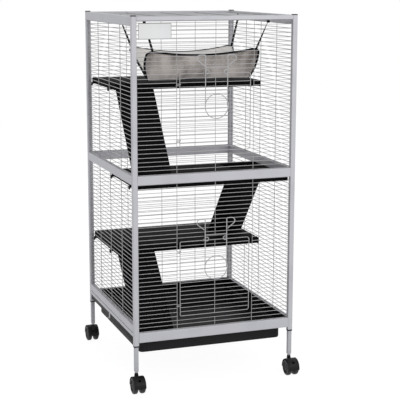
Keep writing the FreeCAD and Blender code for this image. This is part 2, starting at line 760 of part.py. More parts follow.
def add_hammock():
    """Slung padded hammock, its four straps and the rings that hook on the roof mesh."""
    offsets = spread(-hammock_half_length, hammock_half_length, 4)
    nodes["hammock"] = Part.makeLoft([hammock_section(o) for o in offsets], True, False)

    roof_rows = mesh_rows(-inner_y, inner_y)
    ring_wire = hook_ring_wire / 2
    ring_z = roof_z + wire_radius + strap_gap - (hook_ring_radius - ring_wire)
    straps = []
    rings = []
    for corner, inset in strap_insets.items():
        side = -1 if corner.endswith("left") else 1
        at_back = corner.startswith("back")
        edge_y = hammock_back - hammock_cloth / 2 if at_back else hammock_front + hammock_cloth / 2
        offset = side * (hammock_half_length - inset)
        low_x = hammock_middle_x + offset
        high_x = low_x + side * strap_leans[corner]
        half = strap_width / 2
        low_z = hammock_edge_at(offset, at_back) + strap_gap
        left_z = hammock_edge_at(offset - half, at_back) + strap_gap
        right_z = hammock_edge_at(offset + half, at_back) + strap_gap
        row = min(roof_rows, key=lambda r: abs(r - edge_y))
        rings.append(Part.makeTorus(hook_ring_radius, ring_wire, V(high_x, row, ring_z), X))
        high_z = ring_z - hook_ring_radius - ring_wire - strap_top_gap
        y0 = edge_y - strap_thickness / 2
        y1 = edge_y + strap_thickness / 2
        foot = [V(low_x - half, y0, left_z), V(low_x + half, y0, right_z),
                V(low_x + half, y1, right_z), V(low_x - half, y1, left_z)]
        lean = V(high_x - low_x, row - edge_y, high_z - low_z)
        straps.append(Part.Face(Part.makePolygon(foot + foot[:1])).extrude(lean))
    nodes["hammock_straps"] = Part.makeCompound(straps)
    nodes["strap_hooks"] = Part.makeCompound(rings)


door_half = -mesh_columns(inner_x)[1] - door_side_gap
shelf_half = inner_x - shelf_clearance

add_posts()
add_rails()
add_walls()
add_front()
add_shelves_and_ramps()
add_tray()
add_legs()
for caster_name, (caster_x, caster_y) in corners.items():
    add_caster(caster_name, caster_x, caster_y)
add_hammock()

os.makedirs("parts", exist_ok=True)
for node, shape in nodes.items():
    shape.exportStep(os.path.join("parts", node + ".step"))
    solids = shape.Solids
    volume = sum(s.Volume for s in solids) / 1000
    print("%-28s solids %2d  valid %s  volume %9.2f cm3" % (node, len(solids), shape.isValid(), volume))
print("nodes", len(nodes))
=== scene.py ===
# %% [markdown]
# # A tall wire pet cage on casters
#
# The cage is a frame of powder-coated square tube with walls of welded wire. Inside are three
# black shelves joined by ramps, a slung hammock and a floor tray that pulls out to the left.
# The CAD model fixes every size and every joint. This lesson gives each piece the fine shape
# and the finish of the real one: round wires, moulded plastic, plush cloth.

# %% Load the CAD frame
import bpy
import bmesh
import json
import math
from mathutils import Matrix, Vector, noise


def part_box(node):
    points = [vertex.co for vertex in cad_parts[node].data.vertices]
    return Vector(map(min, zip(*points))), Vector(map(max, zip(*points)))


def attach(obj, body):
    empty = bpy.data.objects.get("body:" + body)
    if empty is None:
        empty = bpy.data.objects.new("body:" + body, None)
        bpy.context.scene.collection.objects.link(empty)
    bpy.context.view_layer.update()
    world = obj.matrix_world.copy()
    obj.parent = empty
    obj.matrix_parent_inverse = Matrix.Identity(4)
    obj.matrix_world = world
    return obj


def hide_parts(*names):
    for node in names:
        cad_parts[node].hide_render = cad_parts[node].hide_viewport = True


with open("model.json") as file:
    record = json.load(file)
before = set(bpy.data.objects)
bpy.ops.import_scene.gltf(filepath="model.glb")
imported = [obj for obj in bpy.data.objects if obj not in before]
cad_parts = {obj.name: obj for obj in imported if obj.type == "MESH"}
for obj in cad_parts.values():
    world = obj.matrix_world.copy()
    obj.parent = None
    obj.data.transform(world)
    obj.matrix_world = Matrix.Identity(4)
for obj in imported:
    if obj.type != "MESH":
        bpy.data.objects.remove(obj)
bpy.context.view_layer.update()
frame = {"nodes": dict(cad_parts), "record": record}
nodes = frame["nodes"]
MM = 0.001

# %% [markdown]
# ## Camera
#
# The photograph was taken from the front left, a little above the cage, with a long lens.
# The numbers come from fitting a camera to the posts and rails that show in it.

# %% Camera
yaw, pitch_down, roll = (math.radians(a) for a in (19.78, 10.98, 0.10))
camera_data = bpy.data.cameras.new("camera")
camera_data.lens = 102.3
camera_data.sensor_width = 36.0
camera = bpy.data.objects.new("camera", camera_data)
aim = Matrix.Rotation(-yaw, 4, "Z") @ Matrix.Rotation(math.pi / 2 - pitch_down, 4, "X")
camera.matrix_world = Matrix.Translation((-1.1715, -3.3835, 1.219)) @ aim @ Matrix.Rotation(roll, 4, "Z")
bpy.context.scene.collection.objects.link(camera)
bpy.context.scene.camera = camera
bpy.context.scene.view_settings.view_transform = "Standard"
print("camera at", [round(v, 3) for v in camera.matrix_world.translation])

# %% [markdown]
# ## Colours and nodes
#
# Colours are written as sRGB hex values, as a paint chart gives them, and shaders work in
# linear light, so one function converts them. A second small function adds a node, sets its
# values and feeds its sockets, and every material below is a list of such calls.

# %% Two helpers for materials
def linear(colour):
    """Linear RGBA of an sRGB hex colour."""
    parts = [int(colour[i:i + 2], 16) / 255 for i in (1, 3, 5)]
    return [c / 12.92 if c <= 0.04045 else ((c + 0.055) / 1.055) ** 2.4 for c in parts] + [1.0]


def add(tree, kind, values=None, feeds=None, **settings):
    """Add one node with its settings, its socket values and the sockets that feed it."""
    node = tree.nodes.new(kind)
    for name, value in settings.items():
        setattr(node, name, value)
    for socket, value in (values or {}).items():
        node.inputs[socket].default_value = value
    for socket, source in (feeds or {}).items():
        tree.links.new(source, node.inputs[socket])
    return node


def blank_material(name):
    """A new material with an empty node tree and its output node."""
    material = bpy.data.materials.new(name)
    material.use_nodes = True
    material.node_tree.nodes.clear()
    return material, material.node_tree, add(material.node_tree, "ShaderNodeOutputMaterial")


print("linear mid grey:", round(linear("#808080")[0], 3))

# %% [markdown]
# ## Studio
#
# The photograph is a cut-out on white. A white world that only the camera and reflections
# see gives that white, while the light that falls on the cage stays at a plain level. The
# floor does the same, and keeps a faint shadow under the casters.

# %% World, floor and lamps
world = bpy.data.worlds.new("studio")
bpy.context.scene.world = world
world.use_nodes = True
tree = world.node_tree
tree.nodes.clear()
ray = add(tree, "ShaderNodeLightPath")
seen = add(tree, "ShaderNodeMath", feeds={0: ray.outputs["Is Camera Ray"], 1: ray.outputs["Is Glossy Ray"]},
           operation="MAXIMUM")
seen = add(tree, "ShaderNodeMath", feeds={0: seen.outputs[0], 1: ray.outputs["Is Transmission Ray"]},
           operation="MAXIMUM")
room = add(tree, "ShaderNodeBackground", {"Color": linear("#F4F5F8"), "Strength": 0.74})
white = add(tree, "ShaderNodeBackground", {"Color": (1, 1, 1, 1), "Strength": 1.0})
both = add(tree, "ShaderNodeMixShader", feeds={0: seen.outputs[0], 1: room.outputs[0], 2: white.outputs[0]})
add(tree, "ShaderNodeOutputWorld", feeds={"Surface": both.outputs[0]})

pale_floor, tree, output = blank_material("pale_floor")
ray = add(tree, "ShaderNodeLightPath")
seen = add(tree, "ShaderNodeMath", feeds={0: ray.outputs["Is Camera Ray"], 1: ray.outputs["Is Glossy Ray"]},
           operation="MAXIMUM")
share = add(tree, "ShaderNodeMath", {1: 0.88}, {0: seen.outputs[0]}, operation="MULTIPLY")
paint = add(tree, "ShaderNodeBsdfDiffuse", {"Color": linear("#F2F2F2")})
glow = add(tree, "ShaderNodeEmission", {"Color": (1, 1, 1, 1), "Strength": 1.08})
both = add(tree, "ShaderNodeMixShader", feeds={0: share.outputs[0], 1: paint.outputs[0], 2: glow.outputs[0]})
tree.links.new(both.outputs[0], output.inputs["Surface"])

bm = bmesh.new()
bmesh.ops.create_grid(bm, x_segments=1, y_segments=1, size=6.0)
floor_mesh = bpy.data.meshes.new("studio_floor")
bm.to_mesh(floor_mesh)
bm.free()
floor_mesh.materials.append(pale_floor)
studio_floor = bpy.data.objects.new("studio_floor", floor_mesh)
bpy.context.scene.collection.objects.link(studio_floor)

for name, place, size, power in (("key_softbox", (1.0, -3.2, 1.9), 1.8, 32.0),
                                 ("fill_softbox", (-3.0, -1.2, 1.6), 2.0, 3.0),
                                 ("top_softbox", (0.2, 0.4, 3.4), 2.2, 3.0)):
    lamp = bpy.data.lights.new(name, "AREA")
    lamp.size = size
    lamp.energy = power
    lamp_object = bpy.data.objects.new(name, lamp)
    aim = Vector((0, 0, 0.6)) - Vector(place)
    lamp_object.matrix_world = Matrix.Translation(place) @ aim.to_track_quat("-Z", "Y").to_matrix().to_4x4()
    bpy.context.scene.collection.objects.link(lamp_object)

# %% [markdown]
# ## Powder-coated steel
#
# The tubes are mild steel with a silver-grey powder coat. The powder melts into a skin with
# a fine orange peel and a slight metallic fleck, so highlights are broad and a little grainy.
# The fleck is 0.1 mm and the peel 1.5 mm on the real tube; they are drawn at 1.2 mm and 3 mm
# so that they show. The wires are zinc-plated, and the latches, which hands polish, shine more.

# %% Powder coat on the tubes
def powder_coat(name, base, shade, rough):
    """Silver powder coat: fleck in the colour, orange peel in the bump."""
    material, tree, output = blank_material(name)
    place = add(tree, "ShaderNodeTexCoord")
    fleck = add(tree, "ShaderNodeTexNoise", {"Scale": 1 / (1.2 * MM), "Detail": 1.0},
                {"Vector": place.outputs["Object"]})
    cloud = add(tree, "ShaderNodeTexNoise", {"Scale": 1 / (90 * MM), "Detail": 3.0},
                {"Vector": place.outputs["Object"]})
    blend = add(tree, "ShaderNodeMath", feeds={0: fleck.outputs[0], 1: cloud.outputs[0]}, operation="ADD")
    ramp = add(tree, "ShaderNodeValToRGB", feeds={0: blend.outputs[0]})
    ramp.color_ramp.elements[0].position = 0.7
    ramp.color_ramp.elements[0].color = linear(shade)
    ramp.color_ramp.elements[1].position = 1.0
    ramp.color_ramp.elements[1].color = linear(base)
    gloss = add(tree, "ShaderNodeMapRange", {"To Min": rough - 0.05, "To Max": rough + 0.08},
                {"Value": cloud.outputs[0]})
    peel = add(tree, "ShaderNodeTexNoise", {"Scale": 1 / (3 * MM), "Detail": 1.0},
               {"Vector": place.outputs["Object"]})
    bump = add(tree, "ShaderNodeBump", {"Strength": 0.12, "Distance": 0.2 * MM}, {"Height": peel.outputs[0]})
    skin = add(tree, "ShaderNodeBsdfPrincipled", {"Metallic": 0.1},
               {"Base Color": ramp.outputs[0], "Roughness": gloss.outputs[0], "Normal": bump.outputs[0]})
    tree.links.new(skin.outputs[0], output.inputs["Surface"])
    return material


tube_coat = powder_coat("powder_coated_tube", "#C0C0C4", "#B3B3B8", 0.46)
leg_coat = powder_coat("powder_coated_leg", "#B6B6BA", "#A9A9AE", 0.46)
wire_coat = powder_coat("zinc_plated_wire", "#ACACAC", "#A0A0A0", 0.40)
latch_coat = powder_coat("polished_zinc_wire", "#B6B6B6", "#AAAAAA", 0.34)
print("metal finishes:", tube_coat.name, leg_coat.name, wire_coat.name, latch_coat.name)

# %% [markdown]
# ## Moulded plastic
#
# Shelves, ramps and tray are black polypropylene from a mould with a spark-eroded grain.
# That gives a soft sheen that spreads, with no sharp reflection. The casters are nylon, a
# little greyer and smoother, and the wheels are coloured a lighter grey than the hoods: painted
# light for the light that falls on the wheels' sides. Grain on such parts is about 0.8 mm; it is
# drawn at 2.2 mm.

# %% Black polypropylene and nylon
def moulded_plastic(name, base, scuffed, rough, grain, sheen):
    """Grained plastic: faint scuffing in the colour, grain in the bump."""
    material, tree, output = blank_material(name)
    place = add(tree, "ShaderNodeTexCoord")
    patch = add(tree, "ShaderNodeTexNoise", {"Scale": 1 / (60 * MM), "Detail": 5.0, "Roughness": 0.6},
                {"Vector": place.outputs["Object"]})
    ramp = add(tree, "ShaderNodeValToRGB", feeds={0: patch.outputs[0]})
    ramp.color_ramp.elements[0].position = 0.35
    ramp.color_ramp.elements[0].color = linear(base)
    ramp.color_ramp.elements[1].position = 0.75
    ramp.color_ramp.elements[1].color = linear(scuffed)
    gloss = add(tree, "ShaderNodeMapRange", {"To Min": rough - 0.06, "To Max": rough + 0.10},
                {"Value": patch.outputs[0]})
    pits = add(tree, "ShaderNodeTexVoronoi", {"Scale": 1 / grain}, {"Vector": place.outputs["Object"]})
    bump = add(tree, "ShaderNodeBump", {"Strength": 0.18, "Distance": 0.15 * MM},
               {"Height": pits.outputs["Distance"]})
    skin = add(tree, "ShaderNodeBsdfPrincipled", {"IOR": 1.49, "Specular IOR Level": sheen},
               {"Base Color": ramp.outputs[0], "Roughness": gloss.outputs[0], "Normal": bump.outputs[0]})
    tree.links.new(skin.outputs[0], output.inputs["Surface"])
    return material


black_plastic = moulded_plastic("black_polypropylene", "#070708", "#0E0E10", 0.72, 2.2 * MM, 0.06)
tray_plastic = moulded_plastic("tray_polypropylene", "#121214", "#19191C", 0.55, 2.2 * MM, 0.20)
# The wheels' lighter grey is painted light, for the light that falls on their sides.
wheel_plastic = moulded_plastic("wheel_nylon_painted_light", "#2A2A2D", "#343437", 0.45, 1.6 * MM, 0.24)
hood_plastic = moulded_plastic("caster_hood_nylon", "#0E0E0F", "#161618", 0.45, 1.6 * MM, 0.20)
# Painted shade: a near-black colour for the shade inside the hood's blind hole.
shadow_plastic = moulded_plastic("hood_hole_painted_shade", "#020202", "#040404", 0.80, 1.6 * MM, 0.04)
label_plastic = moulded_plastic("label_polystyrene", "#E0E0DF", "#E7E7E6", 0.50, 2.0 * MM, 0.4)
# The frame is coloured a darker grey than the label's face.
label_rim = moulded_plastic("label_darker_rim", "#98989A", "#A2A2A4", 0.50, 2.0 * MM, 0.4)
plastics = (black_plastic, tray_plastic, wheel_plastic, hood_plastic, shadow_plastic, label_plastic, label_rim)
print("plastics:", [material.name for material in plastics])

# %% [markdown]
# ## Finishing a piece
#
# Each new piece starts as a bmesh. One function turns it into an object at the origin, with
# smooth faces and sharp corners, lets it ride on its CAD body and hides the plain CAD node
# that it stands for.

# %% From bmesh to finished piece
def piece(name, bm, materials, body, slot, *replaced):
    """A finished object from a bmesh, riding on a body and standing for CAD nodes."""
    bmesh.ops.recalc_face_normals(bm, faces=bm.faces)
    mesh = bpy.data.meshes.new(name)
    bm.to_mesh(mesh)
    bm.free()
    mesh.shade_smooth()
    mesh.set_sharp_from_angle(angle=math.radians(38))
    for material in materials:
        mesh.materials.append(material)
    obj = bpy.data.objects.new(name, mesh)
    bpy.context.scene.collection.objects.link(obj)
    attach(obj, body)
    if replaced:
        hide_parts(*replaced)
    print("made", name, "with", len(mesh.polygons), "faces")
    return obj


def spread(first, last, steps):
    """Evenly spaced positions from first to last."""
    return [first + (last - first) * i / steps for i in range(steps + 1)]


# %% [markdown]
# ## Wire walls
#
# The walls are welded mesh: close level wires, and a few upright wires welded on outside
# them. The CAD model holds each wall as one flat plate with slots. Here every wire is its
# own round rod, a cone operator with equal ends, because round wires catch the light along
# one side. Eight sides are enough for a rod 2 mm thick that is repeated hundreds of times.
# The side and roof wires are drawn a little thicker, as they look darker in the photograph.

# %% Straight wires and a whole wall
wire = 1.6 * MM
plate_bar = 2.0 * MM
wire_pitch = 12.65 * MM


def straight_wire(bm, start, end, radius, sides=8):
    """One straight round wire."""
    run = Vector(end) - Vector(start)
    turn = run.to_track_quat("Z", "Y").to_matrix().to_4x4()
    middle = Matrix.Translation((Vector(start) + Vector(end)) / 2)
    bmesh.ops.create_cone(bm, cap_ends=True, segments=sides, radius1=radius, radius2=radius,
                          depth=run.length, matrix=middle @ turn)


def wire_wall(name, run, step, outward, thick=wire, doorway=None):
    """Wires along axis run, spaced along axis step, with cross wires on the outward side."""
    low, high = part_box(name)
    flat = 3 - run - step
    level = (low[flat] + high[flat]) / 2
    half, inset = thick / 2, plate_bar / 2
    gaps = round((high[step] - low[step] - plate_bar) / wire_pitch)
    rows = spread(low[step] + inset, high[step] - inset, gaps)
    columns = spread(low[run] + inset, high[run] - inset, 4)
    bm = bmesh.new()

    def rod(along, first, last, other, height):
        start, end = [0.0] * 3, [0.0] * 3
        start[along], end[along] = first, last
        start[run + step - along] = end[run + step - along] = other
        start[flat] = end[flat] = height
        straight_wire(bm, start, end, half)

    for row in rows:
        if doorway and doorway[0] < row < doorway[1]:
            rod(run, low[run], columns[1] + half, row, level)
            rod(run, columns[3] - half, high[run], row, level)
        else:
            rod(run, low[run], high[run], row, level)
    for column in columns:
        lift = level + outward * thick * 0.9
        if doorway and column == columns[2]:
            sill = max(r for r in rows if r < doorway[0])
            head = min(r for r in rows if r > doorway[1])
            rod(step, low[step], sill, column, lift)
            rod(step, head, high[step], column, lift)
        else:
            rod(step, low[step], high[step], column, lift)
    return piece(name.replace("mesh", "wires"), bm, [wire_coat], "frame", "wire_grey", name)


side_wire, roof_wire = 1.9 * MM, 2.8 * MM
for name, run, step, outward, thick in (
        ("mesh_left_lower", 1, 2, -1, side_wire), ("mesh_left_upper", 1, 2, -1, side_wire),
        ("mesh_right_lower", 1, 2, 1, side_wire), ("mesh_right_upper", 1, 2, 1, side_wire),
        ("mesh_back_lower", 0, 2, 1, wire), ("mesh_back_upper", 0, 2, 1, wire),
        ("mesh_roof", 0, 1, 1, roof_wire)):
    wire_wall(name, run, step, outward, thick)
for part in ("lower", "upper"):
    door_low, door_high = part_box("door_" + part)
    wire_wall("mesh_front_" + part, 0, 2, -1, doorway=(door_low.z - wire, door_high.z + wire))

# %% [markdown]
# ## Bent wire
#
# Doors and latches are wire that was bent cold round pins. The same two moves make it here:
# a circle is extruded along each straight run and spun round each bend, so the tube keeps
# its thickness and the bends are true arcs.

# %% Bent wires and rings
def bent_wire(bm, points, bends, radius, sides=10):
    """Round wire along straight runs, with an arc of the given radius at each corner."""
    points = [Vector(p) for p in points]
    first = (points[1] - points[0]).normalized()
    turn = first.to_track_quat("Z", "Y").to_matrix().to_4x4()
    ring = bmesh.ops.create_circle(bm, cap_ends=True, radius=radius, segments=sides,
                                   matrix=Matrix.Translation(points[0]) @ turn)["verts"]
    edges = list({e for v in ring for e in v.link_edges})
    at = points[0]
    for i in range(1, len(points)):
        run = (points[i] - points[i - 1]).normalized()
        stop = points[i]
        if i < len(points) - 1:
            ahead = (points[i + 1] - points[i]).normalized()
            angle = run.angle(ahead)
            reach = bends[i - 1] * math.tan(angle / 2)
            stop = points[i] - run * reach
        grown = bmesh.ops.extrude_edge_only(bm, edges=edges)["geom"]
        verts = {g for g in grown if isinstance(g, bmesh.types.BMVert)}
        bmesh.ops.translate(bm, verts=list(verts), vec=stop - at)
        edges = [g for g in grown if isinstance(g, bmesh.types.BMEdge) and set(g.verts) <= verts]
        if i < len(points) - 1:
            axis = run.cross(ahead).normalized()
            centre = stop + axis.cross(run) * bends[i - 1]
            steps = max(3, round(math.degrees(angle) / 12))
            spun = bmesh.ops.spin(bm, geom=list(verts) + edges, cent=centre, axis=axis, angle=angle,
                                  steps=steps, use_merge=False)["geom_last"]
            edges = [g for g in spun if isinstance(g, bmesh.types.BMEdge)]
            at = points[i] + ahead * reach
    bmesh.ops.holes_fill(bm, edges=edges)


def wire_ring(bm, centre, axis, ring_radius, radius, sides=10, steps=40):
    """Closed ring of round wire about an axis."""
    axis = Vector(axis)
    side = axis.orthogonal().normalized()
    turn = Matrix((side, axis, side.cross(axis))).transposed().to_4x4()
    start = Matrix.Translation(Vector(centre) + side * ring_radius) @ turn
    circle = bmesh.ops.create_circle(bm, cap_ends=False, radius=radius, segments=sides, matrix=start)["verts"]
    edges = list({e for v in circle for e in v.link_edges})
    bmesh.ops.spin(bm, geom=circle + edges, cent=centre, axis=axis, angle=math.tau, steps=steps,
                   use_merge=True)


print("bent wire is swept with", 10, "sides")

# %% [markdown]
# ## Doors
#
# Each door is a frame of thicker wire, bent once round, with the level wires welded across
# behind it and one upright in the middle. Its left side turns in two clips, each a short
# wire wound once round it and round the wall's upright wire.

# %% Doors and hinge clips
door_wire = 2.2 * MM
door_rows = 18
clip_inset, clip_tail, clip_climb = 0.9 * MM, 2 * MM, 1.6 * MM
clip_bm = bmesh.new()
for part in ("lower", "upper"):
    low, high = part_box("door_" + part)
    y = (low.y + high.y) / 2
    left, right = low.x + 1.5 * MM, high.x - 1.0 * MM
    bottom, top = low.z + 1.5 * MM, high.z - 1.5 * MM
    levels = spread(bottom, top, door_rows)
    bm = bmesh.new()
    corners = [(0, y, bottom), (right, y, bottom), (right, y, top), (left, y, top), (left, y, bottom),
               (0, y, bottom)]
    bent_wire(bm, corners, [6 * MM, 8 * MM, 4 * MM, 4 * MM], door_wire / 2)
    for level in levels[1:-1]:
        behind = y + (door_wire + wire) / 2 * 0.85
        straight_wire(bm, (left, behind, level), (right, behind, level), wire / 2)
    straight_wire(bm, (0, y, bottom), (0, y, top), wire / 2)
    piece("wire_door_" + part, bm, [wire_coat], "door_" + part, "wire_grey", "door_" + part)
    clip_low, clip_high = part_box("door_hinge_clips")
    for row in (2, door_rows - 3):
        foot = (levels[row] + levels[row + 1]) / 2 - 2 * clip_climb
        x0, x1 = clip_low.x + clip_inset, clip_high.x - clip_inset
        y0, y1 = clip_low.y + clip_inset, clip_high.y - clip_inset
        wrap = [(clip_high.x - clip_tail, y1, 0), (x0, y1, 1), (x0, y0, 2), (x1, y0, 3), (x1, y1, 4),
                (clip_low.x + clip_tail, y1, 4)]
        wrap = [(px, py, foot + clip_climb * climbs) for px, py, climbs in wrap]
        bent_wire(clip_bm, wrap, [1.4 * MM] * 4, 0.8 * MM, 8)
piece("hinge_clips", clip_bm, [wire_coat], "frame", "wire_grey", "door_hinge_clips")

# %% [markdown]
# ## Latches
#
# Each latch is one springy bent wire with a ring to pull. Two long legs hang from coils
# round the door's top wire, a crossbar stiffens them, and at their tops they fold out into
# horns that lie against the wall. A screw move, a spin that also climbs, makes the coils.

# %% Latches
latch_wire = 2.7 * MM
cad_radius = 1.5 * MM
ring_radius, leg_reach, horn_reach = 36 * MM, 34.5 * MM, 60.5 * MM
coil_turns, coil_steps, coil_length = 3, 60, 7.2 * MM
for part in ("lower", "upper"):
    low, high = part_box("latch_" + part)
    door_low, door_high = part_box("door_" + part)
    pivot_y, pivot_z = (door_low.y + door_high.y) / 2, door_high.z - cad_radius
    y = pivot_y - 9 * MM
    top, ring_z = high.z - cad_radius, low.z + ring_radius + cad_radius
    radius = latch_wire / 2
    bm = bmesh.new()
    wire_ring(bm, (0, y - 2.2 * MM, ring_z), (0, 1, 0), ring_radius, radius, steps=56)
    bar_z = pivot_z + 18 * MM
    straight_wire(bm, (-35 * MM, y, bar_z), (35 * MM, y, bar_z), radius * 0.75, 10)
    for side in (-1, 1):
        leg = side * leg_reach
        far = side * horn_reach
        horn = [(leg + side * 3 * MM, y, top - 32 * MM), (far, y, top - 14 * MM), (far, y, top),
                (leg, y, top), (leg, y, ring_z)]
        bent_wire(bm, horn, [8 * MM, 10 * MM, 4 * MM], radius)
        eye = (leg - side * 5.5 * MM, y, pivot_z + 5 * MM)
        wire_ring(bm, eye, (0, 1, 0), 5.6 * MM, radius * 0.85, steps=24)
        straight_wire(bm, (leg, y, pivot_z), (leg, pivot_y - 3 * MM, pivot_z), radius * 0.9, 10)
        coil = Matrix.Translation((leg - coil_length / 2, pivot_y - 2.8 * MM, pivot_z))
        circle = bmesh.ops.create_circle(bm, cap_ends=True, radius=radius * 0.85, segments=8,
                                         matrix=coil @ Matrix.Rotation(math.pi / 2, 4, "Y"))["verts"]
        edges = list({e for v in circle for e in v.link_edges})
        end = bmesh.ops.spin(bm, geom=circle + edges, cent=(leg, pivot_y, pivot_z), axis=(1, 0, 0),
                             angle=coil_turns * math.tau, steps=coil_steps,
                             dvec=(coil_length / coil_steps, 0, 0), use_merge=False)["geom_last"]
        bmesh.ops.holes_fill(bm, edges=[g for g in end if isinstance(g, bmesh.types.BMEdge)])
    piece("wire_latch_" + part, bm, [latch_coat], "latch_" + part, "wire_grey", "latch_" + part)

# %% [markdown]
# ## Bevelled blocks
#
# No moulded or pressed edge is perfectly sharp. A block helper makes a cube operator's cube
# fit a box and rounds its edges. The label is such a block with its face set in a shallow
# frame by an inset; it stays bare, and its frame is coloured a darker grey than its face.

# %% Label plate
def block(bm, low, high, bevel):
    """Box between two corners with rounded edges."""
    low, high = Vector(low), Vector(high)
    place = Matrix.Translation((low + high) / 2) @ Matrix.Diagonal((*(high - low), 1))
    verts = bmesh.ops.create_cube(bm, size=1.0, matrix=place)["verts"]
    edges = list({e for v in verts for e in v.link_edges})
    bmesh.ops.bevel(bm, geom=edges, offset=bevel, offset_type="OFFSET", affect="EDGES", segments=2,
                    profile=0.5, material=-1, clamp_overlap=True)


bm = bmesh.new()
block(bm, *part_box("label_plate"), 0.4 * MM)
panel = max(bm.faces, key=lambda f: f.calc_area() if f.normal.y < -0.9 else 0.0)
bmesh.ops.inset_region(bm, faces=[panel], thickness=1.4 * MM, depth=-0.4 * MM)
panel.material_index = 1
piece("bare_label", bm, [label_rim, label_plastic], "frame", "label_white", "label_plate")

# %% [markdown]
# ## Shelves
#
# A shelf is a shallow tray turned upside down: a top skin with a skirt round it. A cube
# loses its bottom face, its other edges are rounded, and a Solidify modifier gives the
# skin its 3 mm. The middle shelf has a stairwell, cut with four planes before that.

# %% Shelves
def moulded_shelf(name, hole=None):
    """Upside-down tray with rounded edges, and a stairwell if hole gives its sides."""
    low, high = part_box(name)
    bm = bmesh.new()
    place = Matrix.Translation((low + high) / 2) @ Matrix.Diagonal((*(high - low), 1))
    bmesh.ops.create_cube(bm, size=1.0, matrix=place)
    floor = [f for f in bm.faces if f.normal.z < -0.5]
    bmesh.ops.delete(bm, geom=floor, context="FACES")
    rim = [e for e in bm.edges if e.is_manifold]
    bmesh.ops.bevel(bm, geom=rim, offset=2.5 * MM, offset_type="OFFSET", affect="EDGES", segments=3,
                    profile=0.5, material=-1, clamp_overlap=True)
    if hole:
        x0, x1, y0, y1 = hole
        for point, normal in (((x0, 0, 0), (1, 0, 0)), ((x1, 0, 0), (1, 0, 0)),
                              ((0, y0, 0), (0, 1, 0)), ((0, y1, 0), (0, 1, 0))):
            everything = bm.verts[:] + bm.edges[:] + bm.faces[:]
            bmesh.ops.bisect_plane(bm, geom=everything, plane_co=point, plane_no=normal)
        inside = [f for f in bm.faces if f.normal.z > 0.9
                  and x0 < f.calc_center_median().x < x1 and y0 < f.calc_center_median().y < y1]
        around = {e for f in inside for e in f.edges}
        border = [e for e in around if sum(f in inside for f in e.link_faces) == 1]
        bmesh.ops.delete(bm, geom=inside, context="FACES")
        walls = bmesh.ops.extrude_edge_only(bm, edges=border)["geom"]
        verts = [g for g in walls if isinstance(g, bmesh.types.BMVert)]
        bmesh.ops.translate(bm, verts=verts, vec=(0, 0, low.z - high.z))
    shelf = piece("moulded_" + name, bm, [black_plastic], "frame", "black_plastic", name)
    skin = shelf.modifiers.new("skin", "SOLIDIFY")
    skin.thickness = 3 * MM
    skin.offset = -1.0
    return shelf


moulded_shelf("shelf_upper")
moulded_shelf("shelf_lower")
moulded_shelf("shelf_middle", (112 * MM, 238.5 * MM, -70 * MM, 10 * MM))

# %% [markdown]
# ## Ramps
#
# A ramp is a ribbed plastic board whose bent top hooks over a shelf edge. Its side view is
# one polygon, extruded to the width and rounded a little. The treads are half-round ribs
# that stand 1.5 mm proud, so rods sunk into the board make them.

# %% Ramps
def moulded_ramp(name, way):
    """Ramp that runs down towards way times +Y from the edge it hooks over."""
    low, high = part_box(name)
    lip, flange, thick = 12 * MM, 3 * MM, 6 * MM
    edge = low.y + lip if way > 0 else high.y - lip
    top, foot = high.z - flange, low.z
    start = top - 14 * MM
    run = high.y - low.y - lip - flange
    slope = (start - foot) / run
    angle = math.atan(slope)
    drop = thick / math.cos(angle)
    outline = [(-lip, top), (-lip, high.z), (flange, high.z), (flange, start), (flange + run, foot),
               (flange + run - drop / slope, foot), (0, start + slope * flange - drop), (0, top)]
    bm = bmesh.new()
    side = bm.faces.new([bm.verts.new((low.x, edge + way * s, z)) for s, z in outline])
    grown = bmesh.ops.extrude_face_region(bm, geom=[side])["geom"]
    verts = [g for g in grown if isinstance(g, bmesh.types.BMVert)]
    bmesh.ops.translate(bm, verts=verts, vec=(high.x - low.x, 0, 0))
    bmesh.ops.recalc_face_normals(bm, faces=bm.faces)
    bmesh.ops.bevel(bm, geom=bm.edges[:], offset=1.2 * MM, offset_type="OFFSET", affect="EDGES", segments=2,
                    profile=0.5, material=-1, clamp_overlap=True)
    down = Vector((0, way * math.cos(angle), -math.sin(angle)))
    out = Vector((0, way * math.sin(angle), math.cos(angle)))
    for i in range(1, int((run / math.cos(angle) - 26 * MM) / (26 * MM)) + 1):
        middle = Vector((0, edge + way * flange, start)) + down * i * 26 * MM - out * 1.1 * MM
        straight_wire(bm, middle + Vector((low.x + 5 * MM, 0, 0)), middle + Vector((high.x - 5 * MM, 0, 0)),
                      2.6 * MM, 12)
    piece("moulded_" + name, bm, [black_plastic], "frame", "black_plastic", name)


moulded_ramp("ramp_upper", -1)
moulded_ramp("ramp_middle", 1)
moulded_ramp("ramp_lower", -1)

# %% [markdown]
# ## Floor tray
#
# The tray is vacuum-formed, so its corners and its bottom edge are well rounded. A cube
# loses its top face, the upright corners and then the bottom edge are bevelled, and the
# shell is thickened inwards. The flat rim that slides on the runners is four bevelled bars.

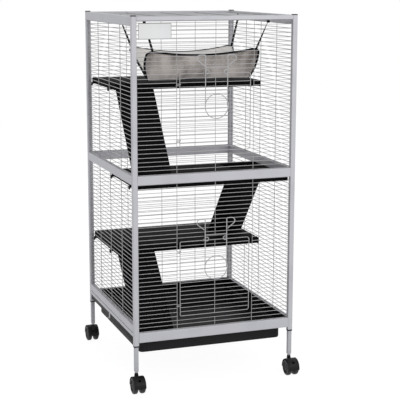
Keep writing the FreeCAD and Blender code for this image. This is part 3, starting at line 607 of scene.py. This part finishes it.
# %% Floor tray
low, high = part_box("tray")
basin_x, basin_y = 231 * MM, 230 * MM
rim_z = low.z + 47 * MM
bm = bmesh.new()
stretch = Matrix.Diagonal((2 * basin_x, 2 * basin_y, rim_z - low.z, 1))
place = Matrix.Translation((0, 0, (low.z + rim_z) / 2)) @ stretch
bmesh.ops.create_cube(bm, size=1.0, matrix=place)
uprights = [e for e in bm.edges if abs(e.verts[0].co.z - e.verts[1].co.z) > 10 * MM]
bmesh.ops.bevel(bm, geom=uprights, offset=14 * MM, offset_type="OFFSET", affect="EDGES", segments=6,
                profile=0.5, material=-1, clamp_overlap=True)
bmesh.ops.delete(bm, geom=[f for f in bm.faces if f.normal.z > 0.5], context="FACES")
keel = [e for e in bm.edges if all(v.co.z < low.z + MM for v in e.verts)]
bmesh.ops.bevel(bm, geom=keel, offset=5 * MM, offset_type="OFFSET", affect="EDGES", segments=3,
                profile=0.5, material=-1, clamp_overlap=True)
bmesh.ops.recalc_face_normals(bm, faces=bm.faces)
bmesh.ops.solidify(bm, geom=bm.faces[:], thickness=2.5 * MM)
flange = 3 * MM
inner_x, inner_y = basin_x - 1.5 * MM, basin_y - 1.5 * MM
for x0, x1, y0, y1 in ((low.x, high.x, low.y, -inner_y), (low.x, high.x, inner_y, high.y),
                       (low.x, -inner_x, low.y, high.y), (inner_x, high.x, low.y, high.y)):
    block(bm, (x0, y0, rim_z - flange), (x1, y1, rim_z), 0.8 * MM)
block(bm, (low.x, low.y, rim_z - flange), (low.x + 6.5 * MM, high.y, high.z), 1.2 * MM)
piece("moulded_tray", bm, [tray_plastic], "tray", "black_plastic", "tray")

# %% [markdown]
# ## Casters
#
# Each caster has two nylon wheels beside a web, under a hood that keeps fingers out. The
# wheels and the hood are turned shapes, so a half section of each is spun round the axle:
# the wheel all the way, the hood over the top half only. A blind hole in the hood's front,
# where a brake would go, is four faces drawn to a ring, set in and pushed back. Its floor is
# painted near-black, a painted shade for the dark inside the hole.

# %% Casters and wheels
def turned(bm, section, centre, side, angle=math.tau, steps=40, start=0.0):
    """Spin a section of (radius, distance along the axle) points about the axle through centre."""
    centre = Vector(centre)
    spoke = Vector((0, math.cos(start), math.sin(start)))
    verts = [bm.verts.new(centre + spoke * r * MM + Vector((side * a * MM, 0, 0))) for r, a in section]
    edges = [bm.edges.new((verts[i - 1], verts[i])) for i in range(len(verts))]
    whole = angle == math.tau
    spun = bmesh.ops.spin(bm, geom=verts + edges, cent=centre, axis=(1, 0, 0), angle=angle, steps=steps,
                          use_merge=whole)["geom_last"]
    if not whole:
        bmesh.ops.holes_fill(bm, edges=edges + [g for g in spun if isinstance(g, bmesh.types.BMEdge)])


wheel_section = [(3.1, 4.7), (20.5, 4.7), (23.0, 5.4), (24.5, 7.1), (24.98, 9.4), (24.98, 14), (24.6, 15.9),
                 (23.4, 17.6), (21.6, 18.5), (19.6, 18.6), (17.6, 18.3), (16.8, 16.8), (16.2, 15.6),
                 (10, 15.2), (9.2, 16.6), (8, 17.6), (3.1, 17.6)]
hood_section = [(26.2, -18), (26.2, 18), (26.6, 18.6), (27.4, 18.2), (27.95, 16.6), (27.95, 4.8), (27.95, 0),
                (27.95, -4.8), (27.95, -16.6), (27.4, -18.2), (26.6, -18.6)]
hub_section = [(2, -15.5), (3, -15.5), (3, -4), (11, -4), (11, 4), (3, 4), (3, 15.5), (2, 15.5)]
for corner in ("front_left", "front_right", "back_left", "back_right"):
    low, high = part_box("wheels_" + corner)
    axle = (low + high) / 2
    bm = bmesh.new()
    for side in (-1, 1):
        turned(bm, wheel_section, axle, side)
    piece("twin_wheels_" + corner, bm, [wheel_plastic], "wheels_" + corner, "wheel_black", "wheels_" + corner)
    way = 1 if axle.y > 0 else -1
    bm = bmesh.new()
    turned(bm, hood_section, axle, 1, math.radians(195), 26, math.radians(-7.5))
    middle = axle + Vector((0, way, 1)).normalized() * 28 * MM
    pole = min(bm.verts, key=lambda v: (v.co - middle).length)
    hole = list(pole.link_faces)
    for vert in {v for f in hole for v in f.verts} - {pole}:
        vert.co = pole.co + (vert.co - pole.co).normalized() * 4.5 * MM
    bmesh.ops.recalc_face_normals(bm, faces=bm.faces)
    bmesh.ops.inset_region(bm, faces=hole, thickness=0.3 * MM, depth=-1.5 * MM)
    # The hole's faces take the painted shade.
    for face in hole:
        face.material_index = 1
    turned(bm, hub_section, axle, 1)
    block(bm, axle + Vector((-4, -11, 0)) * MM, axle + Vector((4, 11, 26.5)) * MM, 0.4 * MM)
    stem_y = axle.y - way * 16 * MM
    for r0, r1, z0, z1 in ((7.2, 6.2, 36, 55), (5.6, 5.2, 55, 60.1), (4, 4, 60.1, 84)):
        place = Matrix.Translation((axle.x, stem_y, (z0 + z1) / 2 * MM))
        bmesh.ops.create_cone(bm, cap_ends=True, segments=24, radius1=r0 * MM, radius2=r1 * MM,
                              depth=(z1 - z0) * MM, matrix=place)
    piece("caster_body_" + corner, bm, [hood_plastic, shadow_plastic], "caster_" + corner, "black_plastic",
          "caster_" + corner)

# %% [markdown]
# ## Plush cloth
#
# The hammock is grey plush outside and cream fleece inside, with black binding tape sewn
# round every edge. Plush has a pile about 3 mm long, and its colour drifts in soft patches,
# about 70 mm wide and longer downwards, where the cloth hangs. The darker patches are partly
# the pile stroked the other way and partly painted shade for soft folds in the cloth. A sheen
# lifts it where it turns away from the eye.

# %% Plush, fleece and webbing
def pile_cloth(name, base, stroked_and_fold_shade, rough, tuft, sheen):
    """Short pile: patches of stroked pile and painted fold shade, fine tufts in the bump, sheen at grazing
    angles.
    """
    material, tree, output = blank_material(name)
    place = add(tree, "ShaderNodeTexCoord")
    drape = add(tree, "ShaderNodeMapping", {"Scale": (1.0, 1.0, 0.4)}, {"Vector": place.outputs["Object"]})
    patch = add(tree, "ShaderNodeTexNoise", {"Scale": 1 / (70 * MM), "Detail": 2.0, "Roughness": 0.5},
                {"Vector": drape.outputs[0]})
    tufts = add(tree, "ShaderNodeTexNoise", {"Scale": 1 / tuft, "Detail": 3.0, "Roughness": 0.65},
                {"Vector": place.outputs["Object"]})
    bump = add(tree, "ShaderNodeBump", {"Strength": 0.8, "Distance": 1.2 * MM}, {"Height": tufts.outputs[0]})
    both = add(tree, "ShaderNodeMath", {1: 0.4}, {0: tufts.outputs[0], 2: patch.outputs[0]},
               operation="MULTIPLY_ADD")
    ramp = add(tree, "ShaderNodeValToRGB", feeds={0: both.outputs[0]})
    ramp.color_ramp.elements[0].position = 0.55
    ramp.color_ramp.elements[0].color = linear(stroked_and_fold_shade)
    ramp.color_ramp.elements[1].position = 0.83
    ramp.color_ramp.elements[1].color = linear(base)
    skin = add(tree, "ShaderNodeBsdfPrincipled",
               {"Roughness": rough, "Sheen Weight": sheen, "Sheen Roughness": 0.5, "Specular IOR Level": 0.2},
               {"Base Color": ramp.outputs[0], "Normal": bump.outputs[0]})
    tree.links.new(skin.outputs[0], output.inputs["Surface"])
    return material


def woven_tape(name, base, rib, thread):
    """Ribbed tape: fine cross ribs in colour and bump."""
    material, tree, output = blank_material(name)
    place = add(tree, "ShaderNodeTexCoord")
    ribs = add(tree, "ShaderNodeTexWave", {"Scale": 1 / thread / 20, "Distortion": 1.5, "Detail": 2.0},
               {"Vector": place.outputs["Object"]}, bands_direction="Z")
    ramp = add(tree, "ShaderNodeValToRGB", feeds={0: ribs.outputs[0]})
    ramp.color_ramp.elements[0].color = linear(base)
    ramp.color_ramp.elements[1].color = linear(rib)
    bump = add(tree, "ShaderNodeBump", {"Strength": 0.5, "Distance": 0.3 * MM}, {"Height": ribs.outputs[0]})
    skin = add(tree, "ShaderNodeBsdfPrincipled", {"Roughness": 0.85, "Specular IOR Level": 0.15},
               {"Base Color": ramp.outputs[0], "Normal": bump.outputs[0]})
    tree.links.new(skin.outputs[0], output.inputs["Surface"])
    return material


# The dark patches of the plush are partly painted shade for its folds.
plush = pile_cloth("grey_plush", "#C6BEB8", "#736B66", 0.95, 3.0 * MM, 0.35)
fleece = pile_cloth("cream_fleece", "#F7F4EF", "#E9E5DF", 0.95, 3.5 * MM, 0.25)
binding = woven_tape("black_binding_tape", "#0A0A0B", "#18181A", 1.2 * MM)
webbing = woven_tape("black_webbing", "#0A0A0B", "#17171A", 1.5 * MM)
print("cloths:", plush.name, fleece.name, binding.name, webbing.name)

# %% [markdown]
# ## Hammock
#
# The pad is a quilted sheet slung by its corners. It starts as a flat grid whose outermost
# strip is the binding. Each point is moved to where the slung sheet lies: down the front
# wall, round the low fold, and up the long back. Its long edges sag between the straps, its
# corners are rounded, and its ends draw in where the weight pulls the cloth down.

# %% The slung sheet
low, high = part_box("hammock")
middle_x = (low.x + high.x) / 2
front_y, back_y, fold_y = low.y, high.y, -104 * MM
flat_length, flat_girth = 362 * MM, 275 * MM
fold = 0.33
along = [0.0] + spread(0.0165, 0.976, 56) + [1.0]
girth = [0.0] + spread(0.0145, 0.976, 44) + [1.0]


def slung(s, t):
    """Place of a point of the slung sheet: s from -1 to 1 along it, t from 0 to 1 round it."""
    sag = 18 * MM * (1 - s * s)
    top = high.z - 13 * MM * max(0.0, (abs(s) - 0.86) / 0.14) ** 2
    left, right = (181, 27, 41), (184, 2, 19)
    if t < fold:
        turn = t / fold * math.pi / 2
        edge = top - sag + 2 * MM * s
        deep = 0.5 * math.sin(turn) + 0.5 * t / fold
        y = front_y + (fold_y - front_y) * (0.3 * (1 - math.cos(turn)) + 0.7 * t / fold)
        reach = 0.0
    else:
        reach = (t - fold) / (1 - fold)
        edge = top - sag * 1.2
        deep = 1 - reach ** 1.85
        y = fold_y + (back_y - fold_y) * reach
    ends = [(a + b * deep - c * deep * deep) * MM for a, b, c in (left, right)]
    if reach:
        ends = [(167 - 12 * math.sin(math.pi * reach) + 8 * reach) * MM] * 2
    x = middle_x + s * (ends[0] if s < 0 else ends[1])
    return Vector((x, y, edge - (edge - low.z) * deep))


bm = bmesh.new()
bmesh.ops.create_grid(bm, x_segments=len(along) - 1, y_segments=len(girth) - 1, size=0.5)
for face in bm.faces:
    centre = face.calc_center_median()
    near_edge = 0.5 - max(abs(centre.x) + 0.5 / len(along), abs(centre.y) + 0.5 / len(girth))
    face.material_index = 2 if near_edge < 0.5 / len(along) else 0
inset = []
for vert in bm.verts:
    i = round((vert.co.x + 0.5) * (len(along) - 1))
    j = round((vert.co.y + 0.5) * (len(girth) - 1))
    vert.co = slung(2 * along[i] - 1, girth[j])
    rest = min(along[i], 1 - along[i]) * flat_length
    inset.append(min(rest, min(girth[j], 1 - girth[j]) * flat_girth))
    soft = min(1.0, inset[-1] / (40 * MM)) * 2.5 * MM
    vert.co.y += soft * noise.noise(vert.co / (70 * MM))
    vert.co.z += soft * noise.noise(vert.co / (55 * MM))
hammock = piece("slung_hammock", bm, [plush, fleece, binding, binding], "frame", "grey_fabric", "hammock")
if sum(f.normal.z for f in hammock.data.polygons) > 0:
    hammock.data.flip_normals()

# %% [markdown]
# ## Padding
#
# Wadding between the two cloths swells the pad, and the binding pinches it all round. A
# Solidify modifier makes the two cloths, close together at the binding and further apart
# inside, and is applied. Blender's cloth solver then blows the pad up a little while the
# binding is held, so soft creases form along it. A cap that grows with the distance from
# the binding says how far a point may move.

# %% Swell the pad
def apply_modifiers(obj):
    """Replace an object's mesh by what its modifiers make of it."""
    seen = obj.evaluated_get(bpy.context.evaluated_depsgraph_get())
    obj.data = bpy.data.meshes.new_from_object(seen)
    obj.modifiers.clear()


group = hammock.vertex_groups.new(name="padding")
for vert in hammock.data.vertices:
    group.add([vert.index], 0.35 + 0.65 * min(1.0, inset[vert.index] / (28 * MM)), "REPLACE")
pad = hammock.modifiers.new("padding", "SOLIDIFY")
pad.thickness = 9 * MM
pad.offset = -1.0
pad.vertex_group = "padding"
pad.material_offset = 1
pad.use_even_offset = False
apply_modifiers(hammock)
pinned = {v for f in hammock.data.polygons if f.material_index > 1 for v in f.vertices}
hammock.vertex_groups.clear()
held = hammock.vertex_groups.new(name="held")
held.add(list(pinned), 1.0, "REPLACE")
print("the pad has", len(hammock.data.vertices), "points, and", len(pinned), "are held by the binding")

# %% Blow it up with the cloth solver
before = [v.co.copy() for v in hammock.data.vertices]
cloth = hammock.modifiers.new("wadding", "CLOTH")
cloth.settings.use_pressure = True
cloth.settings.uniform_pressure_force = 4.0
cloth.settings.effector_weights.gravity = 0.0
cloth.settings.vertex_group_mass = "held"
cloth.settings.quality = 5
cloth.collision_settings.use_collision = False
cloth.point_cache.frame_start, cloth.point_cache.frame_end = 1, 20
for step in range(1, 21):
    bpy.context.scene.frame_set(step)
apply_modifiers(hammock)
bpy.context.scene.frame_set(1)
most = 0.0
for i, (vert, start) in enumerate(zip(hammock.data.vertices, before)):
    move = vert.co - start
    most = max(most, move.length)
    cap = 5 * MM * min(1.0, inset[i % len(inset)] / (40 * MM))
    vert.co = start + move * min(1.0, cap / max(move.length, 1e-9))
print("the wadding would move the cloth by up to", round(most / MM, 1), "mm")

# %% [markdown]
# ## Binding tape
#
# The binding is a tape folded over the pad's edge and sewn through. The outer strip of
# faces on both sides and the rim between them are extruded and moved out along their
# normals, so that the tape stands proud with a small step, as a sewn tape does.

# %% Raise the binding
bm = bmesh.new()
bm.from_mesh(hammock.data)
strip = [f for f in bm.faces if f.material_index > 1]
grown = bmesh.ops.extrude_face_region(bm, geom=strip)["geom"]
bm.normal_update()
for vert in (g for g in grown if isinstance(g, bmesh.types.BMVert)):
    vert.co += vert.normal * 0.8 * MM
bm.to_mesh(hammock.data)
bm.free()
finer = hammock.modifiers.new("finer", "SUBSURF")
finer.levels = finer.render_levels = 1

# %% [markdown]
# ## Straps
#
# Four straps of black webbing hang the pad from rings on the roof wires. Each is a flat
# ribbon: a small rectangle is extruded in short steps from the pad's corner up to its ring,
# and turned a little at each step, because webbing twists as it hangs. Under each ring the
# webbing is folded back and sewn, which makes a small thick block.

# %% Straps and rings
ring_low, ring_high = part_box("strap_hooks")
ring_z = (ring_low.z + ring_high.z) / 2
bm = bmesh.new()
rings = bmesh.new()
straps = ((-154, -180, 0, 20), (176, 217, 0, 75), (-162, -199, 1, 65), (170, 191, 1, 25))
for foot_x, ring_x, at_back, twist in straps:
    edge_y = back_y - 5.5 * MM if at_back else front_y + 5.5 * MM
    row = ring_high.y - 6.5 * MM if at_back else ring_low.y + 6.5 * MM
    foot = Vector((foot_x * MM, edge_y, high.z - 10 * MM))
    head = Vector((ring_x * MM, row, ring_low.z - 4 * MM))
    steps = 10
    rise = (head - foot) / steps
    place = Matrix.Translation(foot) @ Matrix.Diagonal((7 * MM, 1.6 * MM, 1, 1))
    quad = bmesh.ops.create_grid(bm, x_segments=1, y_segments=1, size=0.5, matrix=place)["verts"]
    top = quad[0].link_faces[0]
    at = foot
    for step in range(steps):
        grown = bmesh.ops.extrude_face_region(bm, geom=[top])["geom"]
        top = next(g for g in grown if isinstance(g, bmesh.types.BMFace))
        bmesh.ops.translate(bm, verts=top.verts, vec=rise)
        at = at + rise
        turn = Matrix.Rotation(math.radians(twist / steps), 3, rise)
        bmesh.ops.rotate(bm, verts=top.verts, cent=at, matrix=turn)
    block(bm, head - Vector((4, 3.2, 6)) * MM, head + Vector((4, 3.2, 6)) * MM, 1.2 * MM)
    wire_ring(rings, (ring_x * MM, row, ring_z), (1, 0, 0), 5 * MM, 1.5 * MM, 10, 28)
piece("webbing_straps", bm, [webbing], "frame", "black_webbing", "hammock_straps")
piece("roof_rings", rings, [hood_plastic], "frame", "dark_steel", "strap_hooks")

# %% [markdown]
# ## What stays from the CAD model
#
# Tubes, rails, caps, collars, legs and the tray's guides already have their real shape in
# the CAD model, so those nodes stay. Each one takes the finish of its material slot.

# %% Finish
finish_of = {"frame_grey": tube_coat, "wire_grey": latch_coat, "black_plastic": black_plastic}
for name, obj in nodes.items():
    if obj.hide_render:
        continue
    slot = next(s["material_slot"] for s in frame["record"]["subparts"] if s["node"] == name)
    obj.data.materials.clear()
    obj.data.materials.append(leg_coat if name == "legs" else finish_of[slot])
    print("kept", name, "with", obj.data.materials[0].name)
